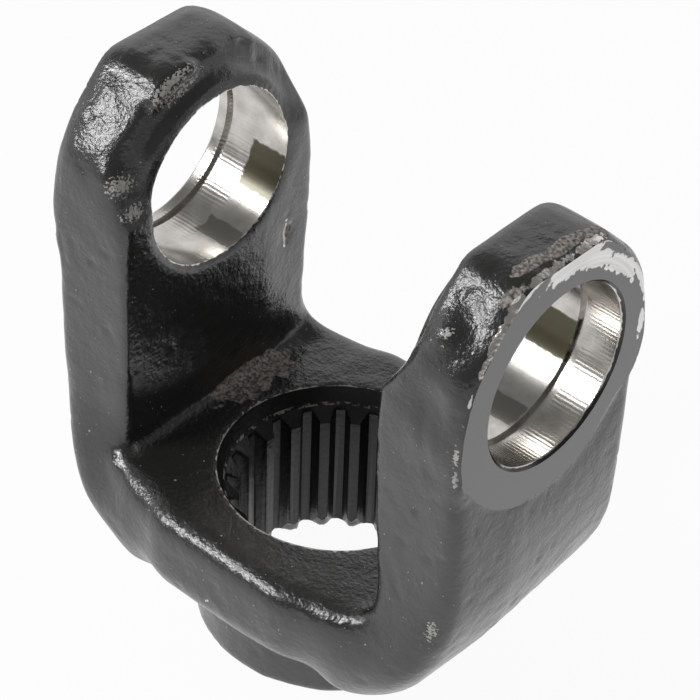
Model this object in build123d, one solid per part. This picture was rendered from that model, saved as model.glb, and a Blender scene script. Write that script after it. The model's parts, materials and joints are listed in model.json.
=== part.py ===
from build123d import *
from math import acos, cos, pi, radians, sin, tan
import os

os.makedirs("parts", exist_ok=True)

# Forged yoke of a universal joint, standing on its splined hub with both ears up.
# Millimetres. X runs along the cross bores, Y along the width of the ears, Z up the spline.
# Z = 0 is the lower face of the hub. It is one forging, machined afterwards.

# Cross bores, and the machined faces and ring grooves round them
bore_diameter = 38.0
bore_height = 92.3
face_half_span = 52.3
spot_face_diameter = 56.0
bore_chamfer = 0.7
groove_depth = 1.1
groove_width = 1.7
groove_inset_right = 9.3
groove_inset_left = 3.7

# Splined hub, with the stepped mouth over its teeth
hub_diameter = 57.6
hub_chamfer = 0.8
spline_teeth = 20
spline_pitch_diameter = 42.33
spline_pressure_angle = 30.0
spline_addendum = 1.065
spline_dedendum = 1.235
spline_turn = 4.6
mouth_shoulder = 2.1
mouth_depth = 3.8
mouth_taper = 1.4
lead_in_depth = 3.0

# Forged ears
ear_width = 53.0
head_width = 54.6
head_height = 27.5
head_stock = 1.6
head_bottom = 76.0
head_blend = 6.0
head_corner_radius = 8.0
ear_edge_radius = 3.5
ridge_y = -10.0
ridge_stock = 0.8
outer_draft_front = 2.6
outer_draft_rear = 3.2
crease_y = 12.5
gap_half_at_bore = 31.5
gap_half_at_floor = 32.8
gap_corner_front = 1.5
gap_corner_rear = 7.0
gap_draft_front = 0.7
gap_draft_rear = 6.0
relief_depth = 5.0
relief_bottom = 94.5
relief_top = 101.0

# Forged base: the round foot under the ears, and the web that carries the spline
web_top = 36.8
web_width = 72.6
web_flat_length = 34.0
web_flare_length = 78.0
web_corner_radius = 13.0
web_top_radius = 4.5
web_bottom_radius = 10.0
base_bottom = 14.0
shank_bottom = 64.0
foot_draw_in = 17.0
foot_swell = 6.3
foot_swell_height = 25.0
foot_undercut = 3.3
foot_corner_radius = 8.5

# How late the foot's forms set in on the way down, as powers of the way gone, and its bands
draw_in_power = 3.1
swell_power = 4
undercut_power = 2
corner_power = 1.5
band_power = 1.4
foot_bands = 10

spline_minor_diameter = spline_pitch_diameter - 2 * spline_addendum
spline_major_diameter = spline_pitch_diameter + 2 * spline_dedendum
mouth_diameter = spline_major_diameter + 2 * mouth_shoulder
head_top = bore_height + head_height
ridge_x = face_half_span + ridge_stock
head_x = ridge_x + head_stock

# How far a cutting form runs past the metal, how far joined forms lap, and where that brings them
clearance = 10.0
overlap = 1.0
reach = web_width / 2 + clearance
above = head_top + clearance


# How far a face has drawn in by draft at a distance from its parting line
def draft(distance, angle):
    return abs(distance) * tan(radians(angle))


def both_halves(half):
    return half + mirror(half, about=Plane.YZ)


# Plan outline of the ears and foot at one height, drawn in both ways from the outer ridge
def outer_plan(z, half_length, half_width, corner_radius):
    front = half_length - draft(-half_width - ridge_y, outer_draft_front)
    rear = half_length - draft(half_width - ridge_y, outer_draft_rear)
    right = [(front, -half_width), (half_length, ridge_y), (rear, half_width)]
    left = [(-x, y) for x, y in reversed(right)]
    with BuildSketch(Plane.XY.offset(z)) as plan:
        with BuildLine():
            Polyline(right + left, close=True)
        make_face()
        fillet([v for v in plan.vertices() if abs(v.Y) > half_width - 0.1], corner_radius)
    return plan.sketch.faces()[0]


# The foot at one height: going down its ends draw in, and its sides swell and then turn under
def foot_plan(z):
    down = (shank_bottom - z) / (shank_bottom - base_bottom)
    if z > foot_swell_height:
        up = (z - foot_swell_height) / (shank_bottom - foot_swell_height)
        swell = foot_swell * cos(up * pi / 2) ** swell_power
    else:
        under = (foot_swell_height - z) / (foot_swell_height - base_bottom)
        swell = foot_swell - foot_undercut * under ** undercut_power
    corner_radius = ear_edge_radius + (foot_corner_radius - ear_edge_radius) * down ** corner_power
    half_length = ridge_x - foot_draw_in * down ** draw_in_power
    return outer_plan(z, half_length, ear_width / 2 + swell, corner_radius)


# Outside of the ears: the rounded foot, the straight shank, and the head with its machining stock
def outer_body():
    rises = [(band / foot_bands) ** band_power for band in range(foot_bands + 1)]
    foot = loft([foot_plan(base_bottom + rise * (shank_bottom - base_bottom)) for rise in rises],
                ruled=True)
    shank = loft([outer_plan(shank_bottom, ridge_x, ear_width / 2, ear_edge_radius),
                  outer_plan(head_bottom, ridge_x, ear_width / 2, ear_edge_radius),
                  outer_plan(head_bottom + head_blend, head_x, head_width / 2, ear_edge_radius),
                  outer_plan(above, head_x, head_width / 2, ear_edge_radius)], ruled=True)
    return foot + shank


# Space between the ears, one half: the inner face, and the relief cut back into the head
def gap_section(y, draft_angle, corner_radius):
    open_by = draft(y - crease_y, draft_angle)
    floor_x = gap_half_at_floor + open_by
    bore_x = gap_half_at_bore + open_by
    with BuildSketch(Plane.XZ.offset(-y)) as section:
        with BuildLine():
            Polyline((-overlap, web_top), (floor_x, web_top), (bore_x, relief_bottom),
                     (bore_x + relief_depth, relief_top),
                     (bore_x + relief_depth, above + clearance), (-overlap, above + clearance),
                     close=True)
        make_face()
        fillet([v for v in section.vertices() if v.X > 10 and v.Y < web_top + 1], corner_radius)
    return section.sketch.faces()[0]


# Side view of the eight-sided head, over a space wide enough for the shank and the foot
def side_prism():
    corner = head_height * tan(radians(22.5))
    with BuildSketch(Plane.YZ) as side:
        with BuildLine():
            half = [(reach, 0.0), (reach, bore_height - corner), (head_height, bore_height - corner),
                    (head_height, bore_height + corner), (corner, head_top)]
            Polyline(half + [(-y, z) for y, z in reversed(half)], close=True)
        make_face()
        fillet([v for v in side.vertices() if v.Y > bore_height], head_corner_radius)
    return extrude(side.sketch, amount=head_x + clearance, both=True)


# Web round the spline, wider than the ears, with rolled edges
def web_block():
    with BuildSketch(Plane.XY.offset(base_bottom)) as plan:
        with BuildLine():
            quarter = [(web_flat_length / 2, web_width / 2), (web_flare_length / 2, ear_width / 2)]
            ring = (quarter + [(x, -y) for x, y in reversed(quarter)]
                    + [(-x, -y) for x, y in quarter] + [(-x, y) for x, y in reversed(quarter)])
            Polyline(ring, close=True)
        make_face()
        fillet(plan.vertices(), web_corner_radius)
    block = extrude(plan.sketch, amount=web_top - base_bottom)
    block = fillet(block.faces().sort_by(Axis.Z)[-1].edges(), web_top_radius)
    return fillet(block.faces().sort_by(Axis.Z)[0].edges(), web_bottom_radius)


half_gap = loft([gap_section(-reach, gap_draft_front, gap_corner_front),
                 gap_section(crease_y, 0.0, gap_corner_front),
                 gap_section(reach, gap_draft_rear, gap_corner_rear)], ruled=True)
ears = (outer_body() & side_prism()) - both_halves(half_gap)
forging = ears + web_block()

hub = Cylinder(hub_diameter / 2, (base_bottom + web_top) / 2, align=(Align.CENTER, Align.CENTER, Align.MIN))
hub = chamfer(hub.edges().filter_by_position(Axis.Z, -0.01, 0.01), hub_chamfer)
yoke = forging + hub


# Everything that the cutters take off round one cross bore; side is 1 right or -1 left
def bore_cut(side, groove_inset):
    across = Plane.YZ.offset(side * face_half_span)
    outward = Location(across) * Rot(0, 0 if side > 0 else 180, 0)
    face_run = head_x - face_half_span + clearance
    face_rise = above - bore_height
    bore_run = face_half_span - gap_half_at_bore + clearance
    facing = Pos(0, 0, face_run / 2) * (
        Cylinder(spot_face_diameter / 2, face_run)
        + Pos(0, face_rise / 2, 0) * Box(2 * head_width, face_rise, face_run))
    rim = Pos(0, 0, -bore_chamfer / 2) * Cone(bore_diameter / 2, bore_diameter / 2 + bore_chamfer,
                                              bore_chamfer)
    bore = Pos(0, 0, -bore_run / 2) * Cylinder(bore_diameter / 2, bore_run)
    groove = Pos(0, 0, -groove_inset) * Cylinder(bore_diameter / 2 + groove_depth, groove_width)
    cutter = facing + rim + bore + groove
    return Pos(0, 0, bore_height) * outward * cutter


yoke = yoke - bore_cut(1, groove_inset_right) - bore_cut(-1, groove_inset_left)


# Half the angle of a spline space at a radius, by the involute of the pressure angle
def half_space(radius):
    def involute(angle):
        return tan(angle) - angle
    pitch_radius = spline_pitch_diameter / 2
    base_radius = pitch_radius * cos(radians(spline_pressure_angle))
    turn = involute(radians(spline_pressure_angle)) - involute(acos(base_radius / radius))
    return pi / (2 * spline_teeth) + turn


def flank_point(radius, sign):
    angle = sign * half_space(radius)
    return (radius * cos(angle), radius * sin(angle))


# Splined hole seen from above: the circle of the tooth tops, and the spaces between the teeth
def spline_profile():
    inner = spline_minor_diameter / 2
    middle = spline_pitch_diameter / 2
    outer = spline_major_diameter / 2
    with BuildSketch() as profile:
        Circle(inner)
        with BuildSketch() as space:
            with BuildLine():
                start = (inner - overlap, flank_point(inner, 1)[1])
                ThreePointArc(flank_point(inner, 1), flank_point(middle, 1), flank_point(outer, 1))
                ThreePointArc(flank_point(outer, 1), (outer, 0), flank_point(outer, -1))
                ThreePointArc(flank_point(outer, -1), flank_point(middle, -1), flank_point(inner, -1))
                Polyline(flank_point(inner, -1), (inner - overlap, flank_point(inner, -1)[1]), start,
                         flank_point(inner, 1))
            make_face()
        with PolarLocations(0, spline_teeth, start_angle=spline_turn):
            add(space.sketch)
    return profile.sketch


spline = Pos(0, 0, -clearance) * extrude(spline_profile(), amount=web_top + 2 * clearance)
mouth_bottom = web_top - mouth_depth
mouth = Pos(0, 0, web_top - mouth_depth / 2) * Cone(mouth_diameter / 2 - mouth_taper,
                                                   mouth_diameter / 2, mouth_depth)
lead_in = Pos(0, 0, mouth_bottom - lead_in_depth / 2) * Cone(
    spline_minor_diameter / 2, mouth_diameter / 2 - mouth_taper, lead_in_depth)
yoke = yoke - (spline + mouth + lead_in)
export_step(yoke, "parts/forged_yoke.step")
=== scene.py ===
# %% [markdown]
# # A forged yoke, from blank to painted part
#
# The real yoke starts as a bar of steel hammered hot between two dies. That leaves a thick U with
# rounded edges, a rough skin and sides that lean a little, so that it can leave the dies. Then it
# is machined: the hub is turned, the hole is bored and broached with a spline, and each ear is
# faced and bored across. Last it is dipped or sprayed in gloss black enamel with its bores closed.
#
# This lesson goes through the same steps. It takes the solid as the forging's true size, fills
# its machined holes to get the blank back, gives the blank its hammered skin, and then cuts the
# machined surfaces again with clean tools. So rough and smooth meet as they do on the real part,
# with a crisp edge that a sander or a texture alone would not give.

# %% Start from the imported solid
import json
from math import cos, pi, radians, tan

import bmesh
import bpy
import numpy as np
from mathutils import Matrix, Vector


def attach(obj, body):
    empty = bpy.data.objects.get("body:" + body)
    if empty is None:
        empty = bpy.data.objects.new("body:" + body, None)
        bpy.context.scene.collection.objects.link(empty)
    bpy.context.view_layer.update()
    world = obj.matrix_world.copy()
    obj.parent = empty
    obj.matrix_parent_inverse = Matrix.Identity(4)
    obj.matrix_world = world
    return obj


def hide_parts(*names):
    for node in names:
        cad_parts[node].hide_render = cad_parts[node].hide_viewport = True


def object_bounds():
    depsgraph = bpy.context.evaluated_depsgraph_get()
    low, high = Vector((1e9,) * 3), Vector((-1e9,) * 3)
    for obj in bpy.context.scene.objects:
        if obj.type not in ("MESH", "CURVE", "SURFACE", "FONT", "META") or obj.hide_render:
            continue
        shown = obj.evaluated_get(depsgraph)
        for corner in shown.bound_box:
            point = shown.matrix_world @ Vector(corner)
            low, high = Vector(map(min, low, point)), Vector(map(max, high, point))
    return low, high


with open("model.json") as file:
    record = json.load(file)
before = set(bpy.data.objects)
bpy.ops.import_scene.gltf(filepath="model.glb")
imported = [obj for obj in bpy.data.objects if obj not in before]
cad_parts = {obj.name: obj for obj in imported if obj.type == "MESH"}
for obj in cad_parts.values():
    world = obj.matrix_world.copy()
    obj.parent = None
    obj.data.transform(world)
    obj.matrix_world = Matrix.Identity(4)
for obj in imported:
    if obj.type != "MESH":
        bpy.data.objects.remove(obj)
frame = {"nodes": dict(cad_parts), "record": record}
cad_low, cad_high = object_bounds()
mm = 0.001
print("solid, mm:", [round((high - low) / mm, 1) for low, high in zip(cad_low, cad_high)])

# %% [markdown]
# The record names the places where other parts fit. The cross bores' radius and height come from
# there, and the other sizes of the machined places are those of the solid, in millimetres.

# %% Sizes that the cutting tools need
cross = next(m for m in frame["record"]["mounts"] if m["name"] == "cross_bores")
bore_radius = cross["dims"]["r_mm"]
bore_height = cross["pos_m"][2] / mm
bore_chamfer = 0.7
face_half_span = cross["dims"]["length_mm"] / 2 + bore_chamfer
spot_face_radius = 28.0
groove_radius = bore_radius + 1.1
groove_width = 1.7
groove_centre = {1: 43.0, -1: 48.6}

hub_radius = 28.8
hub_chamfer = 0.8
web_top = 36.8
base_bottom = 14.0
mouth_radius = 24.5
mouth_depth = 3.8
mouth_taper = 1.4
lead_in_depth = 3.0
mouth_bottom = web_top - mouth_depth
head_top = cad_high.z / mm

spline_teeth = 20
spline_turn = radians(4.6)
pitch_radius = 42.33 / 2
minor_radius = 40.2 / 2
major_radius = 44.8 / 2
pressure_angle = radians(30.0)
print("bores: radius", bore_radius, "at height", round(bore_height, 2), "faces at", face_half_span)

# %% [markdown]
# ## The camera
#
# The picture was taken with a long lens from the front and above, about 40 degrees round and 40
# degrees up. Everything else is judged through this camera, so it comes first. It is set by its
# place, the way its picture's right and up sides point, and its focal length.

# %% Camera
picture_pixels = 700
sensor_width = 36.0
focal_pixels = 3106.5
camera_place = Vector((302.64, -346.78, 462.87)) * mm
picture_right = Vector((0.7399, 0.6722, 0.0272))
picture_up = Vector((-0.4536, 0.4687, 0.7581))
picture_back = Vector((0.4968, -0.5732, 0.6516))

camera_data = bpy.data.cameras.new("camera")
camera_data.sensor_width = sensor_width
camera_data.lens = sensor_width * focal_pixels / picture_pixels
camera_data.clip_start = 0.01
camera_data.clip_end = 20.0
camera = bpy.data.objects.new("camera", camera_data)
bpy.context.scene.collection.objects.link(camera)
camera.matrix_world = Matrix((picture_right, picture_up, picture_back)).transposed().to_4x4()
camera.location = camera_place
bpy.context.scene.camera = camera
print("lens", round(camera_data.lens, 1), "mm")

# %% [markdown]
# ## The blank
#
# A forging has no sharp edge anywhere, because metal doesn't fill a sharp corner of a die. The
# solid has its main forms, and a voxel remesh of a copy gives an even mesh that can be rounded and
# hammered all over. First the machined holes are filled, with plugs that run a little past them.
# A plug is a profile of distance along an axis and distance from it, turned round that axis.


# %% A turned surface
def grid_faces(rows, columns):
    """Four-sided faces of a grid of points in rows, whose last column joins its first one."""
    row, column = np.meshgrid(np.arange(rows - 1), np.arange(columns), indexing="ij")
    after = (column + 1) % columns
    corners = [row * columns + column, row * columns + after,
               (row + 1) * columns + after, (row + 1) * columns + column]
    return np.stack(corners, axis=-1).reshape(-1, 4)


def mesh_object(name, points, faces):
    """A mesh object from an array of points in mm and a list of faces, put in metres."""
    mesh = bpy.data.meshes.new(name)
    mesh.from_pydata((np.asarray(points) * mm).tolist(), [], [list(map(int, f)) for f in faces])
    mesh.validate()
    body = bmesh.new()
    body.from_mesh(mesh)
    bmesh.ops.remove_doubles(body, verts=body.verts, dist=0.0001 * mm)
    bmesh.ops.recalc_face_normals(body, faces=body.faces)
    body.to_mesh(mesh)
    body.free()
    made = bpy.data.objects.new(name, mesh)
    bpy.context.scene.collection.objects.link(made)
    return made


def turned(name, profile, centre, axis, steps=192):
    """Turns (along, radius) pairs round an axis: centre + along * axis + radius * (side cos t + up sin t).
    The profile ends on the axis where it began there, or else where it began, so it closes."""
    along, radius = np.array(profile, float).T
    axis = np.array(axis, float)
    side = np.array([0.0, 1.0, 0.0])
    up = np.cross(axis, side)
    turn = np.linspace(0, 2 * pi, steps, endpoint=False)
    ring = np.outer(np.cos(turn), side) + np.outer(np.sin(turn), up)
    points = (np.array(centre, float) + along[:, None, None] * axis
              + radius[:, None, None] * ring[None])
    return mesh_object(name, points.reshape(-1, 3), grid_faces(len(along), steps))


# %% Fill the machined holes of a copy
def plug(name, radius, start, end, centre, axis):
    return turned(name, [(start, 0), (start, radius), (end, radius), (end, 0)], centre, axis, 96)


def merged_copy(node):
    """The node's own mesh stays as it is, so a copy has its loose triangles merged."""
    body = bmesh.new()
    body.from_mesh(node.data)
    bmesh.ops.remove_doubles(body, verts=body.verts, dist=0.001 * mm)
    mesh = bpy.data.meshes.new("blank")
    body.to_mesh(mesh)
    body.free()
    made = bpy.data.objects.new("blank", mesh)
    bpy.context.scene.collection.objects.link(made)
    return made


def joined(target, parts):
    """Adds the parts' faces to the target's mesh and takes the parts away."""
    body = bmesh.new()
    body.from_mesh(target.data)
    for part in parts:
        body.from_mesh(part.data)
        bpy.data.objects.remove(part)
    body.to_mesh(target.data)
    body.free()
    return target


skin_stock = 0.6
plug_lap = 2
inside_ear = 33.6
inside_hub = 4.0
bore_plug = (groove_radius + plug_lap, inside_ear, face_half_span - skin_stock, (0, 0, bore_height))
plugs = [plug("plug", *bore_plug, (1, 0, 0)), plug("plug", *bore_plug, (-1, 0, 0)),
         plug("plug", mouth_radius + plug_lap, inside_hub, web_top - skin_stock, (0, 0, 0), (0, 0, 1))]
blank = joined(merged_copy(frame["nodes"]["forged_yoke"]), plugs)
print("copy with", len(plugs), "plugs:", len(blank.data.polygons), "faces")

# %% [markdown]
# The remesh lays an even net of small squares over the blank. Then each point moves half way to
# the middle of its neighbours, several times over, which rounds every edge by about as much as the
# net's spacing times the square root of the number of passes, halved.


# %% Remesh and round the edges
def result_of(made, modifier):
    """Swaps an object's mesh for what its one modifier makes of it."""
    seen = made.evaluated_get(bpy.context.evaluated_depsgraph_get())
    mesh = bpy.data.meshes.new_from_object(seen)
    made.modifiers.remove(modifier)
    made.data = mesh
    return made


def points_of(mesh):
    points = np.empty(3 * len(mesh.vertices), np.float32)
    mesh.vertices.foreach_get("co", points)
    return points.reshape(-1, 3).astype(float) / mm


def normals_of(mesh):
    normals = np.empty(3 * len(mesh.vertices), np.float32)
    mesh.vertex_normals.foreach_get("vector", normals)
    return normals.reshape(-1, 3).astype(float)


def put_points(mesh, points):
    mesh.vertices.foreach_set("co", (points * mm).astype(np.float32).ravel())
    mesh.update()


def edges_of(mesh):
    edges = np.empty(2 * len(mesh.edges), np.int32)
    mesh.edges.foreach_get("vertices", edges)
    return edges.reshape(-1, 2)


def relaxed(points, edges, passes, share):
    """Each point moves share/2 of the way to the mean of its neighbours, once in each pass."""
    first, second = edges.T
    size = len(points)
    count = np.bincount(edges.ravel(), minlength=size)
    for _ in range(passes):
        total = np.stack([np.bincount(first, points[second, k], size)
                          + np.bincount(second, points[first, k], size) for k in range(3)], axis=1)
        points = points + 0.5 * share[:, None] * (total / count[:, None] - points)
    return points


net_spacing = 0.8
remesh = blank.modifiers.new("remesh", "REMESH")
remesh.mode = "VOXEL"
remesh.voxel_size = net_spacing * mm
blank = result_of(blank, remesh)
print("blank:", len(blank.data.vertices), "points")

# %% [markdown]
# Two simple shapes say where something happens: a soft step, which rises over a stretch, and a bell,
# which falls off round a point. A few rounds of smoothing take away the net's stairs.


# %% Soft steps and bells
def soft_step(value, start, end):
    """0 before start and 1 after end, by the smooth step 3t² - 2t³ between them."""
    t = np.clip((value - start) / (end - start), 0, 1)
    return t * t * (3 - 2 * t)


def bell(points, centre, radius):
    """exp(-(d / radius)²), where d is the distance from the centre."""
    away = ((points - np.array(centre, float)) ** 2).sum(axis=1)
    return np.exp(-away / radius ** 2)


first_passes = 6
points = points_of(blank.data)
edges = edges_of(blank.data)
points = relaxed(points, edges, first_passes, np.ones(len(points)))
print("smoothed all over", first_passes, "times")

# %% [markdown]
# Some edges are rounder than others. The heads are rounded off most, above all at the corners where
# the front and rear faces turn over into the sloping facets. More rounds of the same smoothing take
# a share from 0 to 1 at each point, by where the point is. The front edges of the ears' inner faces
# stay crisp, where the dies met.

# %% Rounder heads
head_passes = 30
across, depth, height = points.T
head_share = soft_step(height, 80, 98) * (0.35 + 0.65 * soft_step(depth, -16, 2))
right_top = 0.6 * soft_step(height, 100, 108) * soft_step(across, 0, 1)
points = relaxed(points, edges, head_passes, np.maximum(head_share, right_top))

corner_passes = 70
corner_depth = 27.0
corner_height = 103.5
corner_reach = 8.0
from_corner = (np.abs(depth) - corner_depth) ** 2 + (height - corner_height) ** 2
points = relaxed(points, edges, corner_passes, np.exp(-from_corner / corner_reach ** 2))
print("heads smoothed", head_passes, "times and their corners", corner_passes, "times")

# %% [markdown]
# Where the web meets the foot, metal flowed into the valley between them. There the sides are filled
# and drawn in until one curve runs from ear to ear, and the left ear is a little fuller low down.
# The fill and the bulges move points outwards along y, and the shoulders and the tuck move them
# inwards, by at most so many millimetres.

# %% One curve from ear to ear
valley_fill = 1.7
low_left_bulge = 1.3
shank_left_bulge = 0.9
shoulder_left = 1.7
shoulder_right = 0.8
right_tuck = 1.3
across, depth, height = points.T
from_middle = np.abs(across)
outer = np.sign(depth) * soft_step(np.abs(depth), 22, 27)
valley = np.exp(-((from_middle - 27.0) / 5.0) ** 2)
valley = valley * soft_step(height, 9, 14) * (1 - soft_step(height, 36, 40))
shoulder = soft_step(from_middle, 29, 34) * (1 - soft_step(from_middle, 38, 47))
shoulder = shoulder * soft_step(height, 24, 34) * (1 - soft_step(height, 40, 52))
drawn_in = np.where(across < 0, shoulder_left, shoulder_right) * (depth < 0)
low_left = bell(points, (-45, -29, 20), 12.0)
shank_left = bell(points, (-50, -26, 55), 17.0)
tucked = soft_step(across, 4, 24) * (1 - soft_step(height, 20, 32)) * (depth < 0)
bulge = valley_fill * valley + low_left_bulge * low_left + shank_left_bulge * shank_left
depth = depth + outer * (bulge - drawn_in * shoulder - right_tuck * tucked)
points = np.stack([across, depth, height], axis=1)

join_passes = 50
join_share = soft_step(np.abs(depth), 24, 28) * (1 - soft_step(height, 44, 54))
join_share = join_share * soft_step(height, 12, 20) * soft_step(from_middle, 14, 24)
points = relaxed(points, edges, join_passes, join_share)
print("sides filled by up to", round(float((outer * bulge).max()), 2), "mm")

# %% [markdown]
# The solid widens from shank to head in one short step. On the part it is gradual, so the upper
# shank is widened a little on both sides to meet it. The milled faces need some metal to be milled
# off, so the blank gets a skin of stock there, up to the solid's own box. Below each bore the cutter
# only just bites, so the skin is let in there, and the milled circle ends in a low lip.

# %% Gradual widening, and stock for the face mill
head_wider = 0.8
step_start = 76
step_height = 6
across, depth, height = points.T
gradual = soft_step(height, 54, 88) - np.clip((height - step_start) / step_height, 0, 1)
depth = depth + np.sign(depth) * head_wider * gradual * soft_step(np.abs(depth), 20, 26)

milling_stock = 0.9
lip_depth = 0.5
from_bore = np.hypot(depth, height - bore_height)
is_milled = np.maximum(soft_step(height, bore_height - 1, bore_height + 1),
                       1 - soft_step(from_bore, spot_face_radius - 1.6, spot_face_radius - 0.2))
outermost = soft_step(np.abs(across), face_half_span - 2.2, face_half_span - 0.6)
lip = np.exp(-((from_bore - spot_face_radius - 0.5) / 4.0) ** 2) * (1 - soft_step(height, 76, 90))
across = across + np.sign(across) * outermost * (milling_stock * is_milled - lip_depth * lip)
points = np.stack([across, depth, height], axis=1)
print("blank is", round(float(np.ptp(across)), 1), "mm long before milling")

# %% [markdown]
# ## The hammered skin
#
# Forged steel carries scale, small pits and slight waves from worn dies. Waves and pits come from
# value noise: a random number at every corner of a lattice, blended smoothly between corners.
# Several lattices of different spacing, each seeded, give broad waves and fine grain. A mark that
# the picture shows at one place, such as a bump or a dent, is a bell there, and a long one is a
# bell round a line.


# %% Noise and marks
def noise(points, spacing, seed):
    """A random number from -1 to 1 at each corner of a lattice, blended between corners by 3t² - 2t³."""
    size = 64
    table = np.random.default_rng(seed).uniform(-1, 1, (size, size, size))
    cell = points / spacing
    low = np.floor(cell).astype(int)
    t = cell - low
    t = t * t * (3 - 2 * t)
    value = np.zeros(len(points))
    for step in np.ndindex(2, 2, 2):
        corner = (low + step) % size
        weight = np.prod(np.where(step, t, 1 - t), axis=1)
        value += weight * table[corner[:, 0], corner[:, 1], corner[:, 2]]
    return value


def long_bell(points, start, end, radius):
    """exp(-(d / radius)²), where d is the distance from the line between start and end."""
    start, end = np.array(start, float), np.array(end, float)
    along = np.clip((points - start) @ (end - start) / ((end - start) ** 2).sum(), 0, 1)
    away = ((points - start - along[:, None] * (end - start)) ** 2).sum(axis=1)
    return np.exp(-away / radius ** 2)


# %% Waves and grain
put_points(blank.data, points)
normals = normals_of(blank.data)
across, depth, height = points.T

waves = [(0.10, 16.0, 1), (0.07, 7.0, 2)]
wave = sum(high * noise(points, spacing, seed) for high, spacing, seed in waves)
grain_height = 0.045
grain = grain_height * noise(points, 3.0, 3)
pit_depth = 0.16
pits = -pit_depth * soft_step(noise(points, 2.4, 5), 0.62, 0.85)
print("skin: waves", round(float(wave.std()), 3), "mm, pits on", int((pits < 0).sum()), "points")

# %% [markdown]
# The upper front facet of each head is the roughest place: scale was hammered in there, and it
# shines in broken patches. Each row is a rough place, its radius and how rough it is, from 0 to 1.
# On the right foot's outer side the dies' flash was broken off, which leaves a rough outline.

# %% Rough facets
rough_facets = [((-46, -20, 111), 8.5, 1.0), ((45, -17, 114), 8.5, 1.0), ((-40, -16, 116), 5.0, 0.8),
                ((-35.6, -23.8, 101), 3.0, 1.0), ((-33.4, -23.6, 96.6), 2.6, 1.0),
                ((36, -26, 101), 5.0, 0.8)]
rough_share = np.maximum.reduce([share * bell(points, centre, radius)
                                 for centre, radius, share in rough_facets])
rough = rough_share * (0.55 * noise(points, 5.5, 6) + 0.22 * noise(points, 2.8, 7))
flash_height = 0.14
flash_share = soft_step(across, 42, 50) * (1 - soft_step(height, 34, 46))
rough = rough + flash_height * flash_share * noise(points, 1.9, 8)
print("rough places stand out by up to", round(float(rough.max()), 2), "mm")

# %% [markdown]
# Single marks are read off the picture: where a mark shows, a ray through the camera meets the
# surface, and that point is its place, in millimetres. Each row is the place, the radius, and how
# far the mark stands out, or goes in where it is negative. A long mark has two places, its ends. The
# pits on the front faces are all alike, so a row is only the pit's x and z.

# %% Bumps and dents
round_marks = [((42.8, -21.2, 109.4), 3.3, 1.7), ((39.5, -20.0, 108.0), 2.2, -0.5),
               ((47.5, -14.5, 116.0), 3.0, 0.4), ((52.0, -16.0, 116.0), 2.5, -0.5),
               ((44.0, -27.5, 98.0), 4.8, -1.4), ((44.5, -27.5, 88.5), 4.5, 0.7),
               ((35.0, -27.5, 100.5), 3.0, 0.8), ((33.5, -28.5, 97.0), 2.0, -0.5),
               ((-48.0, -21.0, 110.5), 2.4, 0.7), ((-45.5, -17.0, 114.0), 2.4, 0.5),
               ((-36.5, -25.8, 103.0), 3.2, 1.7), ((-33.0, -26.2, 99.5), 2.8, 1.4),
               ((-33.5, -26.5, 105.5), 2.0, -0.6), ((-32.5, 19.3, 66.8), 2.2, -0.6),
               ((-38.0, 12.0, 116.5), 2.2, -0.6), ((-36.5, 15.5, 110.0), 2.2, -0.5),
               ((-34.0, -30.0, 35.5), 2.6, 0.4), ((51.0, -26.0, 91.0), 2.0, -0.3),
               ((48.5, -28.5, 44.5), 1.6, -0.4), ((-2.0, -34.5, 23.0), 1.4, -0.4)]
long_marks = [((-37.0, -13.8, 115.2), (-37.0, -4.0, 118.2), 1.5, 1.2),
              ((-38.0, -17.5, 116.0), (-36.0, -14.8, 114.5), 1.1, -1.1),
              ((35.0, -29.0, 98.5), (35.5, -23.0, 103.5), 1.6, 0.5),
              ((-36.5, 9.0, 118.5), (-36.5, 24.0, 104.0), 4.0, -1.3),
              ((-50.0, -27.0, 84.0), (-49.0, -27.0, 78.0), 1.0, -0.25),
              ((46.0, -26.5, 76.0), (42.5, -26.5, 70.0), 0.9, -0.3),
              ((43.0, -26.5, 94.0), (45.5, -26.5, 82.0), 1.4, -0.35),
              ((36.0, -27.5, 55.0), (40.0, -27.5, 47.0), 1.2, -0.3)]
front_pits = [(42.9, 70.9), (47.2, 76.2), (46.4, 60.5), (39.5, 60.9), (38.6, 44.5), (48.8, 62.1),
              (-46.6, 84.1), (-45.9, 69.4), (-41.2, 82.2), (-37.5, 66.5), (-40.9, 51.4), (-44.3, 38.5)]
front_face = -26.8
front_pit_depth = 0.35
marks = sum(rise * bell(points, centre, radius) for centre, radius, rise in round_marks)
marks = marks + sum(rise * long_bell(points, start, end, radius)
                    for start, end, radius, rise in long_marks)
marks = marks - sum(front_pit_depth * bell(points, (x, front_face, z), 1.0) for x, z in front_pits)
print("marks:", len(round_marks), "round,", len(long_marks), "long and", len(front_pits), "pits")

# %% Move the skin along its normals
margin = 0.02
points = points + (wave + grain + pits + rough + marks)[:, None] * normals
points = np.clip(points, np.array(cad_low) / mm + margin, np.array(cad_high) / mm - margin)
put_points(blank.data, points)
print("skin stays", margin, "mm inside the solid's box")

# %% [markdown]
# The finest grain is too small for the mesh, so it is left to the enamel's bump. How strong that is
# goes with the mesh as an attribute: full on the rough facets and on the front of the web's top,
# less on the rest of the skin, and none on the heads' smooth top facets.

# %% How rough the skin is, for the enamel
upward = normals[:, 2]
skin_share = 0.42 * (1 - soft_step(height, 108, 114) * soft_step(upward, 0.75, 0.9))
web_share = 0.75 * soft_step(upward, 0.5, 0.9) * (1 - soft_step(height, 38, 41))
web_share = web_share * soft_step(height, 33, 35) * soft_step(-depth, -12, 2)
fine_share = np.clip(rough_share + web_share + skin_share, 0, 1).astype(np.float32)
rough_attribute = blank.data.attributes.new("rough_share", "FLOAT", "POINT")
rough_attribute.data.foreach_set("value", fine_share)
print("mean roughness share", round(float(fine_share.mean()), 2))

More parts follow.
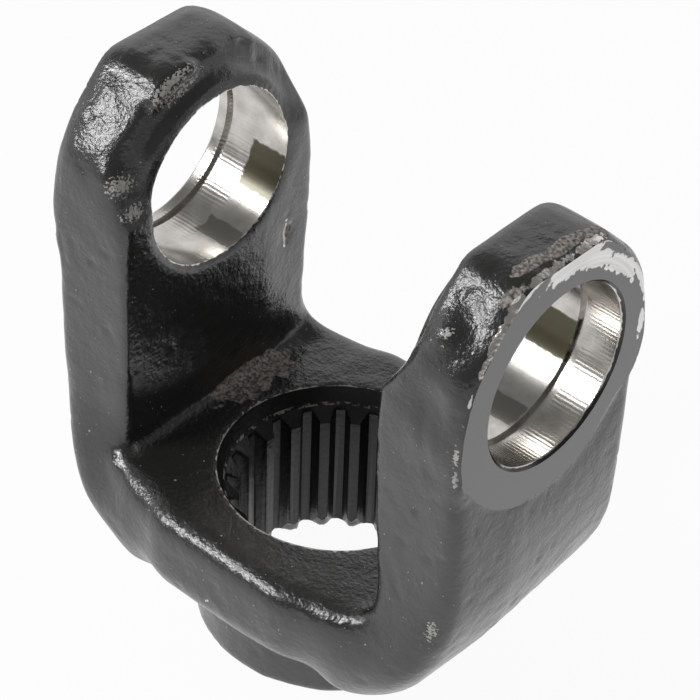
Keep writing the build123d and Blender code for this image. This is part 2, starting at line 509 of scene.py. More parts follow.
# %% [markdown]
# ## Materials
#
# One function adds a node with its settings and links. Colours are written as a paint shop would
# read them off a screen, and one function turns them to the linear light that Blender mixes in. A
# Mix node of colours has its share at place 0, its two colours at 6 and 7, and its result at 2.


# %% Helpers for materials
def linear(hex_colour):
    """sRGB hex to linear: c/12.92 when c is small, else ((c + 0.055)/1.055) to the power 2.4."""
    channels = [int(hex_colour[i:i + 2], 16) / 255 for i in (1, 3, 5)]
    return [c / 12.92 if c <= 0.04045 else ((c + 0.055) / 1.055) ** 2.4 for c in channels] + [1.0]


def new_material(name):
    material = bpy.data.materials.new(name)
    material.use_nodes = True
    material.node_tree.nodes.clear()
    return material, material.node_tree


def add(tree, kind, settings=None, **inputs):
    """Adds a node. Settings are the node's own properties. An input is named with _ for a space,
    and is a value or another node's output socket; a name such as input_1 is the socket's place."""
    node = tree.nodes.new(kind)
    for name, value in (settings or {}).items():
        setattr(node, name, value)
    for name, value in inputs.items():
        place = name.replace("input_", "")
        socket = node.inputs[int(place)] if place.isdigit() else node.inputs[name.replace("_", " ")]
        if isinstance(value, bpy.types.NodeSocket):
            tree.links.new(value, socket)
        else:
            socket.default_value = value
    return node


of_colours = {"data_type": "RGBA"}

# %% [markdown]
# Chips and worn places are spots with a centre and a half size along each axis. The distance from
# the centre, counted in half sizes, gets some noise added, and what is still below 1 is inside. So
# one list of spots gives a mask with ragged edges, as paint that has flaked off.

# %% Ragged spots
mask_softness = 0.05


def spots(tree, place, centres_and_sizes, ragged, grain, square=False):
    """1 inside the spots and 0 outside: the least of |(place - centre) / half size| plus noise.
    A square spot takes the larger of the parts along x and z instead of the length."""
    nearest = 9.0
    for centre, half_size in centres_and_sizes:
        off = add(tree, "ShaderNodeVectorMath", {"operation": "SUBTRACT"}, input_0=place,
                  input_1=Vector(centre) * mm).outputs["Vector"]
        counted = add(tree, "ShaderNodeVectorMath", {"operation": "DIVIDE"}, input_0=off,
                      input_1=Vector(half_size) * mm).outputs["Vector"]
        away = add(tree, "ShaderNodeVectorMath", {"operation": "LENGTH"}, input_0=counted).outputs["Value"]
        if square:
            sides = add(tree, "ShaderNodeVectorMath", {"operation": "ABSOLUTE"}, input_0=counted)
            sides = add(tree, "ShaderNodeSeparateXYZ", Vector=sides.outputs["Vector"])
            away = add(tree, "ShaderNodeMath", {"operation": "MAXIMUM"}, input_0=sides.outputs["X"],
                       input_1=sides.outputs["Z"]).outputs["Value"]
        nearest = add(tree, "ShaderNodeMath", {"operation": "MINIMUM"}, input_0=nearest,
                      input_1=away).outputs["Value"]
    flakes = add(tree, "ShaderNodeTexNoise", Vector=place, Scale=1 / (grain * mm), Detail=5.0).outputs["Fac"]
    edge = add(tree, "ShaderNodeMath", {"operation": "MULTIPLY_ADD"}, input_0=flakes, input_1=ragged,
               input_2=nearest).outputs["Value"]
    limit = 1 + ragged / 2
    return add(tree, "ShaderNodeMapRange", Value=edge, From_Min=limit - mask_softness,
               From_Max=limit + mask_softness, To_Min=1.0, To_Max=0.0).outputs["Result"]


def inside_ring(tree, place, chips, centre, square_to_axis, limit, ragged, soft):
    """1 where the distance from an axis plus ragged * chips is below the limit, and 0 outside.
    The axis goes through the centre, and square_to_axis is 1 in the two directions across it."""
    off = add(tree, "ShaderNodeVectorMath", {"operation": "SUBTRACT"}, input_0=place,
              input_1=Vector(centre) * mm).outputs["Vector"]
    flat = add(tree, "ShaderNodeVectorMath", {"operation": "MULTIPLY"}, input_0=off,
               input_1=square_to_axis).outputs["Vector"]
    away = add(tree, "ShaderNodeVectorMath", {"operation": "LENGTH"}, input_0=flat).outputs["Value"]
    edge = add(tree, "ShaderNodeMath", {"operation": "MULTIPLY_ADD"}, input_0=chips,
               input_1=ragged * mm, input_2=away).outputs["Value"]
    return add(tree, "ShaderNodeMapRange", Value=edge, From_Min=(limit - soft) * mm,
               From_Max=(limit + soft) * mm, To_Min=1.0, To_Max=0.0).outputs["Result"]


# %% [markdown]
# The enamel on the forging is thick and glossy, and the skin under it makes it shine in broken
# patches. Where things rubbed on it, it has worn brown, with steel showing in the middle of a chip.
# On small bumps and ridges a fine pale speckle is painted as the lamp's highlight, and the same
# speckle marks a few real scuffs and the worn rim of the hole. Tiny pale specks strewn over the
# enamel are painted glints. The bores were kept closed while the part was painted, so a thin bright
# line is left round each. A row is a place and its half size, in mm.

# %% Where the enamel is worn, bare or scuffed, and where highlights are painted
enamel_black = linear("#1f1f1d")
enamel_ior = 1.76
bare_steel = linear("#d9d5d0")
worn_places = [((-31.5, 6.0, 36.8), (5.0, 9.5, 3.0)), ((-30.0, 14.0, 36.8), (4.0, 4.0, 3.0)),
               ((48.0, -6.0, 119.5), (1.5, 4.5, 1.5)), ((49.0, 3.0, 119.5), (1.5, 6.5, 1.5)),
               ((50.0, 11.0, 118.0), (1.6, 5.0, 2.0)), ((50.0, -11.0, 117.0), (1.6, 4.0, 2.0)),
               ((-32.5, 19.5, 66.8), (2.0, 1.3, 3.0))]
bare_places = [((51.6, -5.0, 119.5), (0.9, 8.0, 1.5)), ((51.6, 8.0, 119.5), (0.9, 7.0, 1.5)),
               ((51.8, -13.0, 116.0), (0.8, 4.0, 2.5)), ((51.8, -18.0, 111.8), (0.8, 3.0, 3.0)),
               ((51.9, -21.5, 107.5), (0.35, 1.6, 2.4)), ((52.0, -25.0, 102.0), (0.2, 0.8, 1.6)),
               ((-32.5, 18.9, 67.0), (1.5, 0.4, 3.4)), ((-2.0, -34.5, 22.8), (1.6, 1.5, 0.8))]
# Painted highlights on small bumps and ridges, and a few real scuffs and chips.
painted_highlight_and_scuff_places = [((-36.6, -9.6, 117.2), (0.7, 5.2, 3.0)), ((-36.2, -24.2, 101.6), (1.6, 2.2, 1.5)),
                  ((-34.0, -23.2, 96.0), (1.5, 2.0, 1.2)), ((43.8, -22.4, 111.2), (0.8, 1.2, 0.8)),
                  ((51.2, -26.8, 89.4), (0.5, 1.0, 1.8)), ((51.4, -27.0, 84.0), (0.3, 0.8, 1.8)),
                  ((48.6, -27.8, 43.6), (0.9, 1.3, 1.8)), ((-32.8, -30.3, 36.4), (1.2, 1.0, 0.7)),
                  ((-32.9, 20.4, 69.5), (1.6, 0.6, 0.6))]


# %% Masks and colour of the enamel on the forging
def worn_enamel(tree, place):
    """The colour, and the masks of worn enamel and of bare steel."""
    worn = spots(tree, place, worn_places, 1.2, 2.2)
    bare = spots(tree, place, bare_places, 3.0, 1.3)
    # Spots of painted highlight and of scuffs, later joined with the worn rim of the hole.
    painted_highlight_and_scuff = spots(tree, place, painted_highlight_and_scuff_places, 5.0, 0.55)
    chips = add(tree, "ShaderNodeTexNoise", Vector=place, Scale=1 / (1.2 * mm), Detail=3.0).outputs["Fac"]
    bore_rim = inside_ring(tree, place, chips, (0, 0, bore_height), (0, 1, 1), bore_radius + 0.75, 1.2, 0.08)
    mouth_rim = inside_ring(tree, place, chips, (0, 0, 0), (1, 1, 0), mouth_radius + 1.2, 2.2, 0.1)
    steel = add(tree, "ShaderNodeMath", {"operation": "MAXIMUM"}, input_0=bare,
                input_1=bore_rim).outputs["Value"]
    painted_highlight_and_scuff = add(tree, "ShaderNodeMath", {"operation": "MAXIMUM"}, input_0=painted_highlight_and_scuff,
                  input_1=mouth_rim).outputs["Value"]

    rust = add(tree, "ShaderNodeTexNoise", Vector=place, Scale=1 / (0.7 * mm), Detail=6.0).outputs["Fac"]
    rust_share = add(tree, "ShaderNodeMapRange", Value=rust, From_Min=0.38, From_Max=0.62).outputs["Result"]
    brown = add(tree, "ShaderNodeMix", of_colours, input_0=rust_share, input_6=linear("#2c2826"),
                input_7=linear("#a0968e")).outputs[2]
    # The pale speckle of painted highlights and of scuffs.
    painted_highlight_and_scuff_grey = add(tree, "ShaderNodeMix", of_colours, input_0=rust, input_6=linear("#55524f"),
                     input_7=linear("#d8d4ce")).outputs[2]
    # Tiny pale specks painted over the enamel as glints.
    painted_glints = add(tree, "ShaderNodeTexNoise", Vector=place, Scale=1 / (0.8 * mm), Detail=2.0).outputs["Fac"]
    painted_glint_share = add(tree, "ShaderNodeMapRange", Value=painted_glints, From_Min=0.735,
                      From_Max=0.75).outputs["Result"]
    colour = add(tree, "ShaderNodeMix", of_colours, input_0=painted_glint_share, input_6=enamel_black,
                 input_7=linear("#9a9794")).outputs[2]
    for share, over in [(worn, brown), (painted_highlight_and_scuff, painted_highlight_and_scuff_grey), (steel, bare_steel)]:
        colour = add(tree, "ShaderNodeMix", of_colours, input_0=share, input_6=colour,
                     input_7=over).outputs[2]
    return colour, worn, steel


# %% Gloss black enamel over the forged skin
def enamel_on_forging():
    material, tree = new_material("gloss_enamel_on_forged_steel")
    place = add(tree, "ShaderNodeTexCoord").outputs["Object"]
    colour, worn, steel = worn_enamel(tree, place)
    rough_share = add(tree, "ShaderNodeAttribute", {"attribute_name": "rough_share"}).outputs["Fac"]
    dulled = add(tree, "ShaderNodeMapRange", Value=worn, To_Min=0.22, To_Max=0.6).outputs["Result"]
    dulled = add(tree, "ShaderNodeMath", {"operation": "MULTIPLY_ADD"}, input_0=rough_share,
                 input_1=0.04, input_2=dulled).outputs["Value"]
    wide = add(tree, "ShaderNodeTexNoise", Vector=place, Scale=1 / (3.2 * mm), Detail=4.0).outputs["Fac"]
    fine = add(tree, "ShaderNodeTexNoise", Vector=place, Scale=1 / (0.9 * mm), Detail=6.0).outputs["Fac"]
    fine_strength = add(tree, "ShaderNodeMapRange", Value=rough_share, To_Min=0.12,
                        To_Max=0.75).outputs["Result"]
    wide_bump = add(tree, "ShaderNodeBump", Height=wide, Strength=0.8, Distance=0.3 * mm).outputs["Normal"]
    fine_bump = add(tree, "ShaderNodeBump", Height=fine, Strength=fine_strength, Distance=0.3 * mm,
                    Normal=wide_bump).outputs["Normal"]
    shader = add(tree, "ShaderNodeBsdfPrincipled", Base_Color=colour, Roughness=dulled, Metallic=steel,
                 IOR=enamel_ior, Normal=fine_bump)
    add(tree, "ShaderNodeOutputMaterial", Surface=shader.outputs["BSDF"])
    return material


# %% [markdown]
# The hub is turned, so its paint lies smooth, with only the slight waves of a thick coat.


# %% The same enamel on turned steel
def enamel_on_turned():
    material, tree = new_material("gloss_enamel_on_turned_steel")
    place = add(tree, "ShaderNodeTexCoord").outputs["Object"]
    peel = add(tree, "ShaderNodeTexNoise", Vector=place, Scale=1 / (1.6 * mm), Detail=3.0).outputs["Fac"]
    bump = add(tree, "ShaderNodeBump", Height=peel, Strength=0.35, Distance=0.12 * mm).outputs["Normal"]
    shader = add(tree, "ShaderNodeBsdfPrincipled", Base_Color=enamel_black, Roughness=0.28,
                 IOR=enamel_ior, Normal=bump)
    add(tree, "ShaderNodeOutputMaterial", Surface=shader.outputs["BSDF"])
    return material


# %% [markdown]
# Little paint reached the inside of the hole, so it is thinner and duller there, and the ledge under
# the counterbore is lighter in flaked spots.


# %% Thin enamel in the splined hole
def enamel_in_hole():
    material, tree = new_material("thin_enamel_in_splined_hole")
    place = add(tree, "ShaderNodeTexCoord").outputs["Object"]
    height_there = add(tree, "ShaderNodeSeparateXYZ", Vector=place).outputs["Z"]
    on_ledge = add(tree, "ShaderNodeMath", {"operation": "COMPARE"}, input_0=height_there,
                   input_1=mouth_bottom * mm, input_2=0.3 * mm).outputs["Value"]
    flakes = add(tree, "ShaderNodeTexNoise", Vector=place, Scale=1 / (1.3 * mm), Detail=4.0).outputs["Fac"]
    flaked = add(tree, "ShaderNodeMapRange", Value=flakes, From_Min=0.5, From_Max=0.6).outputs["Result"]
    # Lighter flaked spots on the ledge under the counterbore.
    worn = add(tree, "ShaderNodeMath", {"operation": "MULTIPLY"}, input_0=on_ledge,
               input_1=flaked).outputs["Value"]
    colour = add(tree, "ShaderNodeMix", of_colours, input_0=worn, input_6=enamel_black,
                 input_7=linear("#a09a94")).outputs[2]
    bump = add(tree, "ShaderNodeBump", Height=flakes, Strength=0.6, Distance=0.2 * mm).outputs["Normal"]
    shader = add(tree, "ShaderNodeBsdfPrincipled", Base_Color=colour, Roughness=0.34, IOR=1.42, Normal=bump)
    add(tree, "ShaderNodeOutputMaterial", Surface=shader.outputs["BSDF"])
    return material


# %% [markdown]
# Both the bores and the milled faces round them are best described round the bore's axis. Their
# patterns use three lengths: the way round at a radius, the distance from the axis, and the place
# along it.


# %% Lengths round the bore's axis
def round_bore(tree, radius):
    """(angle * radius, distance from the axis, x), the angle counted from the rear and going up."""
    place = add(tree, "ShaderNodeTexCoord").outputs["Object"]
    off = add(tree, "ShaderNodeVectorMath", {"operation": "SUBTRACT"}, input_0=place,
              input_1=Vector((0, 0, bore_height)) * mm).outputs["Vector"]
    parts = add(tree, "ShaderNodeSeparateXYZ", Vector=off)
    angle = add(tree, "ShaderNodeMath", {"operation": "ARCTAN2"}, input_0=parts.outputs["Z"],
                input_1=parts.outputs["Y"]).outputs["Value"]
    way_round = add(tree, "ShaderNodeMath", {"operation": "MULTIPLY"}, input_0=angle,
                    input_1=radius * mm).outputs["Value"]
    flat = add(tree, "ShaderNodeVectorMath", {"operation": "MULTIPLY"}, input_0=off,
               input_1=(0, 1, 1)).outputs["Vector"]
    away = add(tree, "ShaderNodeVectorMath", {"operation": "LENGTH"}, input_0=flat).outputs["Value"]
    return add(tree, "ShaderNodeCombineXYZ", X=way_round, Y=away, Z=parts.outputs["X"]).outputs["Vector"]


# %% [markdown]
# The cross bores are bare. A boring bar leaves fine rings, and where it chattered, short ribs lie
# side by side round the bore, next to the groove and the outer edge. An olive band high on each
# front wall and duller bands lower down are painted reflections, which run along the bore. A place
# is an angle and an x, and its half size is measured round the bore, off the axis and along it.


# %% Bare bored steel
def bored_bare_steel():
    material, tree = new_material("bored_bare_steel")
    wall = round_bore(tree, bore_radius)

    def at(degrees, x):
        return (radians(degrees) * bore_radius, bore_radius, x)

    # Painted reflections: an olive band high on each front wall and duller bands lower down, along the bore.
    painted_olive_reflection = spots(tree, wall, [(at(-30, -36.5), (5.0, 9.0, 5.0)), (at(-25, 37.0), (4.2, 9.0, 5.4))],
                  0.25, 1.6, square=True)
    painted_grey_reflection = spots(tree, wall, [(at(-77, -36.5), (2.4, 9.0, 5.2)), (at(-80, 37.0), (2.8, 9.0, 5.0)),
                              (at(30, 37.0), (4.0, 9.0, 5.0))], 0.5, 2.0, square=True)
    ribs_share = spots(tree, wall, [(at(90, 48.0), (80.0, 9.0, 3.4)), (at(90, -45.6), (80.0, 9.0, 4.4))],
                       0.3, 4.0, square=True)
    long_grain = add(tree, "ShaderNodeMapping", Vector=wall, Scale=(0.06, 1, 1)).outputs["Vector"]
    rings = add(tree, "ShaderNodeTexNoise", Vector=long_grain, Scale=1 / (0.5 * mm),
                Detail=3.0).outputs["Fac"]
    rib_spacing = 0.9 * mm
    ribs = add(tree, "ShaderNodeTexWave", Vector=wall, Scale=2 * pi / (20 * rib_spacing), Distortion=1.5,
               Detail=2.0).outputs["Fac"]
    ribs = add(tree, "ShaderNodeMath", {"operation": "MULTIPLY"}, input_0=ribs,
               input_1=ribs_share).outputs["Value"]
    dirt = add(tree, "ShaderNodeTexNoise", Vector=wall, Scale=1 / (4.0 * mm), Detail=5.0).outputs["Fac"]
    dirt_share = add(tree, "ShaderNodeMapRange", Value=dirt, From_Min=0.35, From_Max=0.7, To_Min=0.0,
                     To_Max=0.5).outputs["Result"]
    chipped = add(tree, "ShaderNodeTexNoise", Vector=wall, Scale=1 / (1.5 * mm), Detail=4.0).outputs["Fac"]
    edge_inset = add(tree, "ShaderNodeMath", {"operation": "MULTIPLY_ADD"}, input_0=chipped,
                     input_1=-0.6 * mm, input_2=(face_half_span - bore_chamfer + 0.5) * mm).outputs["Value"]
    along = add(tree, "ShaderNodeSeparateXYZ", Vector=wall).outputs["Z"]
    outward = add(tree, "ShaderNodeMath", {"operation": "ABSOLUTE"}, input_0=along).outputs["Value"]
    painted = add(tree, "ShaderNodeMath", {"operation": "GREATER_THAN"}, input_0=outward,
                  input_1=edge_inset).outputs["Value"]
    # The painted reflection bands darken the steel's colour, and the olive band also makes it less metallic,
    # as the paint on the chamfer does.
    colour = linear("#cfccc7")
    for share, over in [(dirt_share, linear("#8d8983")), (painted_grey_reflection, linear("#93908b")),
                        (painted_olive_reflection, linear("#4a4733")), (painted, enamel_black)]:
        colour = add(tree, "ShaderNodeMix", of_colours, input_0=share, input_6=colour,
                     input_7=over).outputs[2]
    paint_and_painted_reflection = add(tree, "ShaderNodeMath", {"operation": "MULTIPLY_ADD"}, input_0=painted_olive_reflection, input_1=0.7,
                  input_2=painted).outputs["Value"]
    bright = add(tree, "ShaderNodeMapRange", Value=paint_and_painted_reflection, To_Min=1.0, To_Max=0.0).outputs["Result"]
    ring_bump = add(tree, "ShaderNodeBump", Height=rings, Strength=0.35, Distance=0.03 * mm).outputs["Normal"]
    bump = add(tree, "ShaderNodeBump", Height=ribs, Strength=0.35, Distance=0.04 * mm,
               Normal=ring_bump).outputs["Normal"]
    shader = add(tree, "ShaderNodeBsdfPrincipled", Base_Color=colour, Metallic=bright, Roughness=0.22,
                 Normal=bump)
    add(tree, "ShaderNodeOutputMaterial", Surface=shader.outputs["BSDF"])
    return material


# %% [markdown]
# The milled faces have a thin coat, so the cutter's rings show through it. On the right ear it has
# come off in arcs, along the rings, because the steel there is too smooth for paint to hold.


# %% Milled face with thin paint
def milled_painted_face():
    material, tree = new_material("thin_enamel_on_milled_steel")
    arc_radius = 25.0
    face = round_bore(tree, arc_radius)

    def at(degrees, radius):
        return (radians(degrees) * arc_radius, radius, face_half_span)

    deep = 5.0
    bare = spots(tree, face, [(at(88, 25.0), (6.5, 2.0, deep)), (at(68, 24.2), (6.0, 1.9, deep)),
                              (at(76, 26.4), (4.0, 1.3, deep)), (at(48, 23.4), (6.0, 1.9, deep)),
                              (at(38, 23.8), (3.4, 1.8, deep)), (at(25, 25.0), (7.5, 0.7, deep)),
                              (at(43, 27.3), (3.0, 1.2, deep)), (at(62, 28.0), (2.2, 0.7, deep)),
                              (at(118, 28.0), (7.0, 0.9, deep)), (at(140, 29.5), (5.0, 1.2, deep)),
                              (at(-4, 24.7), (3.4, 0.9, deep)), (at(28, 22.9), (0.9, 0.6, deep))], 1.5, 1.5)
    along_rings = add(tree, "ShaderNodeMapping", Vector=face, Scale=(0.05, 1, 1)).outputs["Vector"]
    rings = add(tree, "ShaderNodeTexNoise", Vector=along_rings, Scale=1 / (0.55 * mm),
                Detail=3.0).outputs["Fac"]
    steel = add(tree, "ShaderNodeMix", of_colours, input_0=rings, input_6=linear("#bcbab7"),
                input_7=linear("#fbf9f7")).outputs[2]
    colour = add(tree, "ShaderNodeMix", of_colours, input_0=bare, input_6=linear("#686867"),
                 input_7=steel).outputs[2]
    bump = add(tree, "ShaderNodeBump", Height=rings, Strength=0.25, Distance=0.05 * mm).outputs["Normal"]
    shader = add(tree, "ShaderNodeBsdfPrincipled", Base_Color=colour, Metallic=bare, Roughness=0.3,
                 IOR=enamel_ior, Normal=bump)
    add(tree, "ShaderNodeOutputMaterial", Surface=shader.outputs["BSDF"])
    return material


skin_material = enamel_on_forging()
turned_material = enamel_on_turned()
hole_material = enamel_in_hole()
bore_material = bored_bare_steel()
face_material = milled_painted_face()
blank.data.materials.clear()
blank.data.materials.append(skin_material)
print("materials:", [material.name for material in bpy.data.materials])

# %% [markdown]
# ## Machining
#
# Each cut is a tool's own swept shape, and the blank loses what the tool passes through. The hub
# is turned round the upright axis, so its tool is a ring with the hub's profile left standing. Each
# tool carries the finish that it leaves behind, and the cut hands that finish on to the new faces.


# %% The tools
hub_root = 0.3
under_foot = base_bottom - 0.1
tool_reach = 60.0
hub_loop = [(-2, hub_radius - hub_chamfer), (0, hub_radius - hub_chamfer), (hub_chamfer, hub_radius),
            (under_foot - hub_root, hub_radius), (under_foot, hub_radius + hub_root),
            (under_foot, tool_reach), (-2, tool_reach)]
hub_tool = turned("hub_tool", hub_loop + hub_loop[:1], (0, 0, 0), (0, 0, 1))
mill_run = 8
bore_start = 20
bore_run = 1


def facing_tool(side):
    """The face mill's path: a half circle below the bore's centre, and straight up from its ends."""
    turn = np.linspace(pi, 2 * pi, 65)
    top = head_top + mill_run
    y = np.concatenate([spot_face_radius * np.cos(turn), [spot_face_radius, -spot_face_radius]])
    z = np.concatenate([bore_height + spot_face_radius * np.sin(turn), [top, top]])
    near = np.stack([np.full(len(y), side * face_half_span), y, z], axis=1)
    far = near + [side * mill_run, 0, 0]
    count = len(y)
    faces = [list(range(count)), list(range(2 * count - 1, count - 1, -1))]
    faces += grid_faces(2, count).tolist()
    return mesh_object("facing_tool", np.vstack([near, far]), faces)


def boring_tool(side):
    """The bore with its ring groove and the chamfer at its mouth."""
    groove_start = groove_centre[side] - groove_width / 2
    groove_end = groove_centre[side] + groove_width / 2
    profile = [(bore_start, 0), (bore_start, bore_radius), (groove_start, bore_radius),
               (groove_start, groove_radius), (groove_end, groove_radius), (groove_end, bore_radius),
               (face_half_span - bore_chamfer, bore_radius),
               (face_half_span + bore_run, bore_radius + bore_chamfer + bore_run),
               (face_half_span + bore_run, 0)]
    return turned("boring_tool", profile, (0, 0, bore_height), (side, 0, 0))


# %% [markdown]
# The splined hole is one surface over an angle and a height. At each angle the broach leaves the
# radius of the spline, and near the top the counterbore and its cone are wider than that, so the
# hole is the larger of the two. A tooth's flank is an involute: the half angle of a space at
# radius r is 90/teeth degrees, plus inv(pressure angle) - inv(angle there), where inv(a) is
# tan a - a.


# %% The splined hole
def half_space(radius):
    base_radius = pitch_radius * cos(pressure_angle)
    there = np.arccos(np.clip(base_radius / radius, 0, 1))
    return pi / (2 * spline_teeth) + tan(pressure_angle) - pressure_angle - np.tan(there) + there


flank_radii = np.linspace(minor_radius, major_radius, 5)
flank_angles = half_space(flank_radii)
one_space_angle = np.concatenate([-flank_angles, [0.0], flank_angles[::-1]])
one_space_radius = np.concatenate([flank_radii, [major_radius], flank_radii[::-1]])
land = np.linspace(flank_angles[0], 2 * pi / spline_teeth - flank_angles[0], 5)[1:-1]
one_pitch_angle = np.concatenate([one_space_angle, land])
one_pitch_radius = np.concatenate([one_space_radius, np.full(len(land), minor_radius)])

pitch_start = spline_turn + 2 * pi / spline_teeth * np.arange(spline_teeth)
hole_angle = (pitch_start[:, None] + one_pitch_angle[None]).ravel()
hole_radius = np.tile(one_pitch_radius, spline_teeth)

cone_bottom = mouth_bottom - lead_in_depth
cone_heights = np.linspace(cone_bottom, mouth_bottom, 7)
below_hub = -2
above_web = web_top + 3
radius_above = mouth_radius + 1.1
level_height = np.concatenate([[below_hub], cone_heights, [web_top, above_web]])
cone_radius = np.interp(level_height, [cone_bottom, mouth_bottom, web_top, above_web],
                        [minor_radius, mouth_radius - mouth_taper, mouth_radius, radius_above])
level_radius = np.maximum(hole_radius[None], cone_radius[:, None])
rings = np.stack([level_radius * np.cos(hole_angle), level_radius * np.sin(hole_angle),
                  np.broadcast_to(level_height[:, None], level_radius.shape)], axis=-1)
around = len(hole_angle)
hole_faces = grid_faces(len(level_height), around).tolist()
hole_faces += [list(range(around))[::-1], list(range(around * (len(level_height) - 1),
                                                       around * len(level_height)))]
hole_tool = mesh_object("hole_tool", rings.reshape(-1, 3), hole_faces)
print("hole:", spline_teeth, "teeth,", around, "points round at", len(level_height), "heights")


# %% Cut
def cut(made, tool, finish):
    """Takes the tool's shape out of the object, and gives the new faces the tool's material."""
    tool.data.materials.append(finish)
    bpy.context.view_layer.update()
    difference = made.modifiers.new("cut", "BOOLEAN")
    difference.operation = "DIFFERENCE"
    difference.solver = "MANIFOLD"
    difference.material_mode = "TRANSFER"
    difference.object = tool
    made = result_of(made, difference)
    bpy.data.objects.remove(tool)
    return made


yoke = blank
yoke.name = "yoke"
cuts = [(hub_tool, turned_material), (facing_tool(1), face_material), (facing_tool(-1), face_material),
        (boring_tool(1), bore_material), (boring_tool(-1), bore_material), (hole_tool, hole_material)]
for tool, finish in cuts:
    yoke = cut(yoke, tool, finish)
    print("after", len(yoke.data.polygons), "faces,", [m.name for m in yoke.data.materials])

# %% [markdown]
# The milled faces are flat, so they are shaded flat, and all the rest is shaded smooth. An edge
# stays sharp where its two faces turn by more than 38 degrees. The sharp edges are marked first,
# because that mark makes every face smooth again.

# %% Shading
material_index = np.empty(len(yoke.data.polygons), np.int32)
yoke.data.polygons.foreach_get("material_index", material_index)
flat = yoke.data.materials.find(face_material.name)
yoke.data.set_sharp_from_angle(angle=radians(38))
yoke.data.polygons.foreach_set("use_smooth", material_index != flat)
yoke.data.update()
print("shaded flat:", int((material_index == flat).sum()), "faces")

# %% What the piece stands for
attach(yoke, "root")
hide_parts("forged_yoke")

# %% [markdown]
# ## Light and ground
#
# The part stands in a white studio. Black gloss shows little of its own colour, so what it
# mirrors makes its look: the white ground and walls give grey sides, and where one ear mirrors
# the other it stays black. The ground is lit round the part and dimmer far off, so that a bump
# which tilts the mirror image away to the distance shows dark.

# %% Floor
ground_half = 3.0
table_radius = 0.12
square = np.array([(-1, -1, 0), (1, -1, 0), (1, 1, 0), (-1, 1, 0)])
ground = mesh_object("ground", square * ground_half / mm, [(0, 1, 2, 3)])
material, tree = new_material("pale_studio_ground")
ray = add(tree, "ShaderNodeLightPath")
matt = add(tree, "ShaderNodeBsdfDiffuse", Color=linear("#e8e8e8")).outputs["BSDF"]
white = add(tree, "ShaderNodeEmission", Color=(1, 1, 1, 1), Strength=1.0).outputs["Emission"]
camera_share = add(tree, "ShaderNodeMath", {"operation": "MULTIPLY"}, input_0=ray.outputs["Is Camera Ray"],
                   input_1=0.95).outputs["Value"]
mirrored = add(tree, "ShaderNodeMath", {"operation": "MAXIMUM"}, input_0=ray.outputs["Is Glossy Ray"],
               input_1=ray.outputs["Is Transmission Ray"]).outputs["Value"]
place = add(tree, "ShaderNodeTexCoord").outputs["Object"]
far = add(tree, "ShaderNodeVectorMath", {"operation": "LENGTH"}, input_0=place).outputs["Value"]
table_light = add(tree, "ShaderNodeMapRange", {"interpolation_type": "SMOOTHSTEP"}, Value=far,
                  From_Min=table_radius, From_Max=3 * table_radius, To_Min=1.0,
                  To_Max=0.25).outputs["Result"]
mirrored = add(tree, "ShaderNodeMath", {"operation": "MULTIPLY"}, input_0=mirrored,
               input_1=table_light).outputs["Value"]
white_share = add(tree, "ShaderNodeMath", {"operation": "MAXIMUM"}, input_0=camera_share,
                  input_1=mirrored).outputs["Value"]
mixed = add(tree, "ShaderNodeMixShader", input_0=white_share, input_1=matt,
            input_2=white).outputs["Shader"]
add(tree, "ShaderNodeOutputMaterial", Surface=mixed)
ground.data.materials.append(material)
print("ground:", 2 * ground_half, "m wide, lit to", 2 * table_radius, "m across")

# %% [markdown]
# The room is a white sweep that goes up behind the part, under a dark ceiling. That is why the tops
# of the heads are grey, where they mirror the sweep, and the web's top is nearly black, where it
# mirrors the ceiling. The world's light depends only on how high a direction points, and on how far
# to the back it points: the sweep ends at the low limit in front and at the high one at the back. A
# ray that goes from the camera straight to it sees plain white.

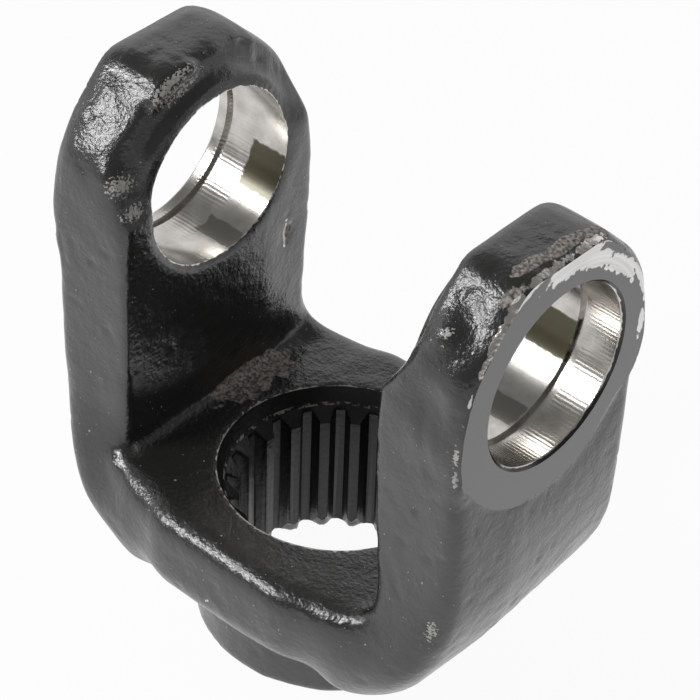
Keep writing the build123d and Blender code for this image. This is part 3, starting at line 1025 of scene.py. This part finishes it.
# %% World
low_limit = 0.1
high_limit = 0.68
ceiling_light = 0.2
sweep_light = 1.0
world = bpy.data.worlds.new("studio")
bpy.context.scene.world = world
world.use_nodes = True
tree = world.node_tree
tree.nodes.clear()
direction = add(tree, "ShaderNodeTexCoord").outputs["Generated"]
height_part = add(tree, "ShaderNodeSeparateXYZ", Vector=direction).outputs["Z"]
backward = add(tree, "ShaderNodeVectorMath", {"operation": "DOT_PRODUCT"}, input_0=direction,
               input_1=(-0.66, 0.75, 0)).outputs["Value"]
limit = add(tree, "ShaderNodeMapRange", {"interpolation_type": "SMOOTHSTEP"}, Value=backward,
            From_Min=0.15, From_Max=0.5, To_Min=low_limit, To_Max=high_limit).outputs["Result"]
over_limit = add(tree, "ShaderNodeMath", {"operation": "SUBTRACT"}, input_0=height_part,
                 input_1=limit).outputs["Value"]
light = add(tree, "ShaderNodeMapRange", {"interpolation_type": "SMOOTHSTEP"}, Value=over_limit,
            From_Min=-0.04, From_Max=0.06, To_Min=sweep_light, To_Max=ceiling_light).outputs["Result"]
ray = add(tree, "ShaderNodeLightPath")
straight = add(tree, "ShaderNodeMath", {"operation": "MAXIMUM"}, input_0=ray.outputs["Is Camera Ray"],
               input_1=ray.outputs["Is Transmission Ray"]).outputs["Value"]
strength = add(tree, "ShaderNodeMath", {"operation": "MAXIMUM"}, input_0=light,
               input_1=straight).outputs["Value"]
sky = add(tree, "ShaderNodeBackground", Color=(1, 1, 1, 1), Strength=strength).outputs["Background"]
add(tree, "ShaderNodeOutputWorld", Surface=sky)
print("world: sweep at", sweep_light, "and ceiling at", ceiling_light)

# %% [markdown]
# One soft lamp stands high at the front left. Its image in the enamel gives the bright patches on
# the heads' front facets and the broken bright line along the web's front roll.

# %% Lamp
lamp_place = Vector((-500, -650, 700)) * mm
lamp_aim = Vector((0, 0, 60)) * mm
lamp_side = 340 * mm
lamp_power = 7.5
lamp_data = bpy.data.lights.new("front_left", "AREA")
lamp_data.shape = "SQUARE"
lamp_data.size = lamp_side
lamp_data.energy = lamp_power
lamp = bpy.data.objects.new("front_left", lamp_data)
bpy.context.scene.collection.objects.link(lamp)
lamp.location = lamp_place
lamp.rotation_euler = (lamp_place - lamp_aim).to_track_quat("Z", "Y").to_euler()
bpy.context.scene.view_settings.view_transform = "Standard"
print("lamp:", lamp_power, "W,", round((lamp_place - lamp_aim).length, 2), "m away")
